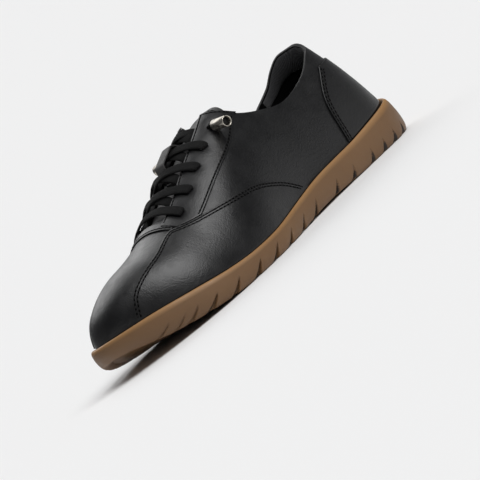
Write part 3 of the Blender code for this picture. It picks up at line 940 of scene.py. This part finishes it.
def makeThroatBand():
    def place(column, row):
        across = (row / band["rows"] * 2 - 1) * band["half"]
        bow = (across / band["half"]) ** 2
        front = band["front"] - band["frontBow"] * bow
        back = throat["closes"] + band["back"] + band["backBow"] * bow
        station = stationAt(back + (front - back) * column / band["columns"])
        return acrossPlace(station, across, last["gap"] * band["lift"])[0]

    strip = makeSheet("throatBand", band["columns"], band["rows"], place, panelLeather,
                      faceOut=True)
    thicken(strip, band["thick"], 1, band["bevel"])


pins = makePins()
makeUpper(pins)
for side, word in sides:
    makeSidePanel("sidePanel_" + word, side, "side_panel_" + word)
    makeFacing("facing_" + word, side, "facing_" + word, pins)
makeCounter()
makeThroatBand()
drop(pins)
print("upper made")


# seams

# rows start and end a little inside the pieces that they sew
stitch = dict(
    length=0.0021, pitch=0.0028, width=0.00085, height=0.00060, first=0.0013, between=0.0018, lift=0.00005,
    grooveShadeWidth=0.0012, pressDepth=0.00007, panelEnds=0.004, panelSteps=160, ends=0.01,
    lipTurn=0.01, facingTop=0.0095, facingEnd=0.0025, facingSteps=100, rearEnd=0.199,
    counterFrom=0.02, counterRun=0.96, counterSteps=60,
)


def offsetPath(path, side, distance):
    # moves a path on the upper sideways by a real distance, to the left of its way seen from outside
    moved = []
    for i, (station, turn) in enumerate(path):
        before, after = path[max(i - 1, 0)], path[min(i + 1, len(path) - 1)]
        way = (surface(*after, side) - surface(*before, side)).normalized()
        aside = outward(station, turn, side).cross(way).normalized() * distance
        run, climb, runStep, climbStep = nearby(station, turn, side)
        run, climb = run / runStep, climb / climbStep
        a, b, c = run.dot(run), run.dot(climb), climb.dot(climb)
        p, q = aside.dot(run), aside.dot(climb)
        det = max(a * c - b * b, 1e-12)
        moved.append((station + (p * c - q * b) / det, min(turn + (q * a - p * b) / det, 1.0)))
    return moved


def grooveShadeLine(bm, points, normals):
    # the narrow strip that a row of stitches is drawn into, painted dark as the shade along its groove
    half, depth = stitch["grooveShadeWidth"] / 2, stitch["pressDepth"]
    count = len(points) - 1
    made = bmesh.ops.create_grid(bm, x_segments=count, y_segments=2, size=1.0)["verts"]
    for vert in made:
        i = round((vert.co.x + 1) / 2 * count)
        share = round(vert.co.y)
        way = (points[min(i + 1, count)] - points[max(i - 1, 0)]).normalized()
        aside = normals[i].cross(way).normalized()
        vert.co = points[i] + aside * (half * share) + normals[i] * (depth if share == 0 else -depth)
    # the strip takes the painted shade
    for face in {face for vert in made for face in vert.link_faces}:
        face.material_index = 1


def sewPlaces(bm, places):
    # even stitches through places, each a point and its normal
    if len(places) < 3:
        return
    points, normals = zip(*places)
    grooveShadeLine(bm, points, normals)
    travelled = stitch["pitch"] / 2
    for i in range(len(points) - 1):
        way = points[i + 1] - points[i]
        length = way.length
        while travelled <= length and length > 0:
            share = travelled / length
            normal = (normals[i] * (1 - share) + normals[i + 1] * share).normalized()
            forward = (way - normal * way.dot(normal)).normalized()
            aside = normal.cross(forward)
            basis = Matrix((forward * stitch["length"], aside * stitch["width"], normal * stitch["height"]))
            placed = basis.transposed().to_4x4()
            placed.translation = points[i] + way * share
            bmesh.ops.create_uvsphere(bm, u_segments=6, v_segments=4, radius=0.5, matrix=placed)
            travelled += stitch["pitch"]
        travelled -= length


def makeSideSeams(side, word):
    bm = bmesh.new()
    onTop = last["seamGap"] + last["overlay"] + stitch["lift"]
    doubleRow = [stitch["first"] + k * stitch["between"] for k in (0, 1)]

    def sew(path, distance, keep=lambda station, turn: True):
        path = [(s, t) for s, t in offsetPath(path, side, distance) if keep(s, t)]
        sewPlaces(bm, [(leather(s, t, side, onTop), outward(s, t, side)) for s, t in path])

    def overLip(station, turn):
        inside = min(max(station, stitch["ends"]), 1 - stitch["ends"])
        return turn > lipTurn(inside, side) + stitch["lipTurn"]

    edge = [(s, panelTurn(s, side)) for s in panelLine(stitch["panelEnds"], stitch["panelSteps"])]
    for aside in doubleRow:
        sew(edge, side * aside, overLip)
    line = throatLine(stitch["facingTop"], stitch["facingEnd"], stitch["facingSteps"])
    rear = [(s, facingEdges(s, side)[0]) for s in line if eased(s) * sole["length"] < stitch["rearEnd"]]
    sew(rear, -side * stitch["first"])
    sew([(s, facingEdges(s, side)[1]) for s in line], side * stitch["first"])
    levels = stationLine(0, stitch["counterRun"], stitch["counterSteps"])
    counter = [counterPlace(side, stitch["counterFrom"] + level)[:2] for level in levels]
    for aside in doubleRow:
        sew(counter, -side * aside)
    makeObject("stitches_" + word, bm, [thread, stitchShade])


def makeBandSeam():
    bm = bmesh.new()
    places = []
    for share in stationLine(-1, 1, band["seamSteps"]):
        across = share * band["seamHalf"]
        station = stationAt(band["seam"] - band["frontBow"] * (across / band["half"]) ** 2)
        places.append(acrossPlace(station, across, band["seamLift"]))
    sewPlaces(bm, places)
    makeObject("stitches_band", bm, [thread, stitchShade])


for side, word in sides:
    makeSideSeams(side, word)
makeBandSeam()
print("seams sewn")


# tongue and inside

tongue = dict(
    top=0.110, root=0.222, width=0.044, pad=0.0030, sag=0.0050, sagInner=0.0030, lift=0.0060, liftRun=0.0080,
    narrowing=0.14, topRound=0.008, hem=0.0045, hemDepth=0.0005, hemWidth=0.0007, seamLift=0.0003,
    seamSteps=30, columns=150, rows=44, bevel=0.0009,
)
# the strap on the tongue that the lace runs under, between the third and the fourth row
strap = dict(
    columns=40, rows=8, start=0.1735, end=0.1470, ramp=0.0070, half=0.0045, aside=0.0015, rootLift=0.0001,
    clear=0.0016, thick=0.0010, bevel=0.0003,
)
# padded cloth inside the back of the heel, under the collar
heelPad = dict(
    columns=60, rows=24, reach=0.036, deepMiddle=0.016, deepEnds=0.006, underCollar=0.006, clear=0.0002,
    swell=0.0016, fullUp=0.6, fullAcross=0.5,
)


def tonguePlace(station, share, lift=0.0):
    toTop = eased(station) * sole["length"] - tongue["top"]
    half = tongue["width"] / 2 * (1 - tongue["narrowing"] * (1 - roundEnd(toTop, tongue["topRound"])))
    sinks = 1 - ease(toTop / (throat["closes"] - tongue["top"]))
    raised = tongue["lift"] * (1 - ease(toTop / tongue["liftRun"]))
    edge = raised - tongue["sagInner"] * sinks if share < 0 else -tongue["sag"] * sinks
    hemmed = -tongue["hemDepth"] * math.exp(-((toTop - tongue["hem"]) / tongue["hemWidth"]) ** 2)
    return acrossPlace(station, half * share, underThroat + edge * share * share + hemmed + lift)


def makeTongue():
    columns, rows = tongue["columns"], tongue["rows"]
    line = stationLine(stationAt(tongue["top"]), stationAt(tongue["root"]), columns)
    piece = makeSheet("tonguePad", columns, rows, lambda c, r: tonguePlace(line[c], r / rows * 2 - 1)[0],
                      tongueLeather)
    thicken(piece, tongue["pad"], -1, tongue["bevel"])
    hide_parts("tongue")
    bm = bmesh.new()
    hem = stationAt(tongue["top"] + tongue["hem"])
    shares = stationLine(-1, 1, tongue["seamSteps"])[1:-1]
    sewPlaces(bm, [tonguePlace(hem, share, tongue["seamLift"]) for share in shares])
    makeObject("stitches_tongue", bm, [thread, stitchShade])


def makeKeeper():
    low = underThroat + strap["rootLift"]
    high = last["seamGap"] + last["overlay"] + 2 * lace["thick"] + strap["clear"]

    def place(column, row):
        distance = strap["start"] + (strap["end"] - strap["start"]) * column / strap["columns"]
        risen = ease(min(strap["start"] - distance, distance - strap["end"]) / strap["ramp"])
        across = strap["half"] * (row / strap["rows"] * 2 - 1) - strap["aside"]
        return acrossPlace(stationAt(distance), across, low + (high - low) * risen)[0]

    keeper = makeSheet("tongueKeeper", strap["columns"], strap["rows"], place, tongueLeather,
                       flip=True, faceOut=True)
    thicken(keeper, strap["thick"], 1, strap["bevel"])


def makeHeelPatch():
    inside = -(last["wall"] + heelPad["clear"])

    def place(column, row):
        across = column / heelPad["columns"] * 2 - 1
        side = sideOf(across)
        station = stationAt(heelPad["reach"]) * abs(across)
        top = topEdge(station, side) - heelPad["underCollar"]
        deep = heelPad["deepMiddle"] + (heelPad["deepEnds"] - heelPad["deepMiddle"]) * ease(abs(across))
        low = turnAtHeight(station, side, surface(station, top, side).z - deep)
        share = row / heelPad["rows"]
        swell = heelPad["swell"] * math.sin(math.pi * share) ** heelPad["fullUp"]
        swell *= math.sin(math.pi * (across + 1) / 2) ** heelPad["fullAcross"]
        return leather(station, low + (top - low) * share, side, inside - swell)

    patch = makeSheet("heelPatch", heelPad["columns"], heelPad["rows"], place, patchCloth)


makeTongue()
makeKeeper()
makeHeelPatch()
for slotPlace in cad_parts["insole"].material_slots:
    slotPlace.material = insoleCloth
print("tongue and inside made")


# laces

def makeLace(name, marks, replaced):
    # marks: row, signed share of the eyelets' half spread, lift over the leather, width share, thickness share
    steps, around = lace["steps"], lace["around"]
    path = [pointBetween(marks, i, k / steps) for i in range(len(marks) - 1) for k in range(steps)]
    path.append(marks[-1])
    centres, normals = zip(*[acrossPlace(eyeletStation(row), share * eyeletAcross(row), lift)
                             for row, share, lift, _, _ in path])
    count = len(centres) - 1
    travelled = [0.0]
    for i in range(count):
        travelled.append(travelled[-1] + (centres[i + 1] - centres[i]).length)
    frames = []
    for i in range(count + 1):
        way = (centres[min(i + 1, count)] - centres[max(i - 1, 0)]).normalized()
        wide = way.cross(normals[i])
        if wide.length < lace["least"] and frames:
            wide = frames[-1][0]
        wide = wide.normalized()
        if frames and wide.dot(frames[-1][0]) < 0:
            wide = -wide
        frames.append((wide, wide.cross(way).normalized()))

    def place(column, row):
        angle = math.tau * row / around
        x, y = math.cos(angle), math.sin(angle)
        x = math.copysign(abs(x) ** lace["flatWidth"], x) * lace["width"] / 2 * path[column][3]
        y = math.copysign(abs(y) ** lace["flatThick"], y) * lace["thick"] / 2 * path[column][4]
        wide, high = frames[column]
        return centres[column] + wide * x + high * y

    bm = newBmesh()
    addSheet(bm, count, around, place)
    flat = bm.loops.layers.uv["flat"]
    for face in bm.faces:
        for loop in face.loops:
            u, v = loop[flat].uv
            loop[flat].uv = (travelled[min(round(u * count), count)], math.cos(math.tau * v) * lace["width"] / 2)
    joinPoints(bm)
    bmesh.ops.holes_fill(bm, edges=[e for e in bm.edges if e.is_boundary], sides=0)
    faceOutward(bm)
    piece = makeObject(name, bm, [laceCloth])
    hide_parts(*replaced)


def makeLaces():
    over = last["seamGap"] + last["overlay"] + lace["thick"] / 2 + lace["rest"]
    beneath = -(last["wall"] + lace["below"])

    def dive(row, side):
        # over the rim of a hole and down through it
        return [
            (row, side * 1.0, over + 0.0001, 1.0, 1.05),
            (row, side * 1.05, over - 0.0008, 0.85, 1.0),
            (row, side * 0.98, beneath, 0.45, 1.2),
        ]

    bar = [(0.0, share, over + rise, 1.0, 1.0) for share, rise in ((-0.6, 0.0002), (0.0, 0.0004), (0.6, 0.0002))]
    makeLace("laceBar", dive(0.0, -1)[::-1] + bar + dive(0.0, 1), ("lace_bar",))
    for row in range(lace["rows"] - 1):
        lastRow = row == lace["rows"] - 2
        low = row + (lace["topStart"] if lastRow else lace["strandStart"])
        edge = facingEdge(rowDistance(low)) / eyeletAcross(low)
        for side, word in ((1, "a"), (-1, "b")):
            rise = lace["secondOver"] if side > 0 else 0.0
            marks = [
                (row + 0.06, -side * 0.95, beneath, 0.7, 0.7),
                (low - 0.16, -side * (edge + 0.20), beneath, 0.9, 0.8),
                (low - 0.04, -side * (edge + 0.03), beneath + 0.0006, 1.0, 0.9),
                (low + 0.05, -side * (edge - 0.14), over - 0.0012, 1.0, 1.0),
            ]
            if lastRow:
                high = row + lace["topEnd"]
                marks += [
                    ((low + high) / 2, 0.0, over + rise, 1.0, 1.0),
                    (high - 0.06, side * (edge - 0.16), over - 0.0012, 1.0, 1.0),
                    (high + 0.02, side * (edge + 0.03), beneath + 0.0005, 1.0, 0.9),
                    (row + 0.96, side * 0.90, beneath, 0.8, 0.7),
                    (row + 1.0, side * 1.0, -0.0010, 0.58, 1.2),
                    (row + 1.0, side * 1.03, over + 0.0006, 0.60, 1.4),
                    (row + 0.99, side * 1.09, over + 0.0020, 0.62, 1.6),
                    (row + 0.96, side * 1.20, over + 0.0022, 0.62, 1.7),
                ]
            else:
                marks += [
                    (low + 0.24, 0.0, over + 0.0002 + rise, 1.0, 1.0),
                    (low + 0.42, side * (edge - 0.06), over + 0.0006, 1.0, 1.0),
                    (row + 0.95, side * 0.80, over + 0.0002, 1.0, 1.0),
                ] + dive(row + 1.0, side)
            makeLace(f"laceStrand{row + 1}{word}", marks, (f"lace_crossing_{row + 1}",))


def makeTube(name, side, replaced):
    station = eyeletStation(lace["rows"] - 1)
    turn = turnAcross(station, side, eyeletAcross(lace["rows"] - 1) + lace["tubeAside"])
    lift = last["bareGap"] + last["overlay"] + last["gap"] + lace["tubeOutside"] / 2 - lace["tubeSeat"]
    start = leather(station, turn, side, lift)
    along, across, up = lace["tubeAxis"]
    axis = Vector((along, side * across, up)).normalized()
    bore, outside = lace["tubeBore"] / 2, lace["tubeOutside"] / 2
    length, soft = lace["tubeLength"], lace["tubeSoft"]
    profile = [
        (bore, soft), (bore + soft, 0.0), (outside - soft, 0.0), (outside, soft), (outside, length - soft),
        (outside - soft, length), (bore + soft, length), (bore, length - soft),
    ]
    bm = newBmesh()
    verts = [bm.verts.new((radius, 0.0, height)) for radius, height in profile]
    edges = [bm.edges.new((verts[i], verts[(i + 1) % len(verts)])) for i in range(len(verts))]
    bmesh.ops.spin(bm, geom=verts + edges, cent=(0, 0, 0), axis=(0, 0, 1), angle=math.tau, steps=48,
                   use_merge=True)
    faceOutward(bm)
    turned = axis.to_track_quat("Z", "Y").to_matrix().to_4x4()
    turned.translation = start
    bmesh.ops.transform(bm, matrix=turned, verts=bm.verts)
    tube = makeObject(name, bm, [metal])
    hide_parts(replaced)
    # the lace end inside it
    bm = newBmesh()
    radius = bore - lace["endPlay"]
    inside = Matrix.Translation((0, 0, length * lace["endMiddle"]))
    bmesh.ops.create_cone(bm, cap_ends=True, segments=24, radius1=radius, radius2=radius,
                          depth=length * lace["endLength"], matrix=turned @ inside)
    makeObject(name + "Lace", bm, [thread])


makeLaces()
for side, word in sides:
    makeTube("tube_" + word, side, "lace_tube_" + word)
print("laces run")
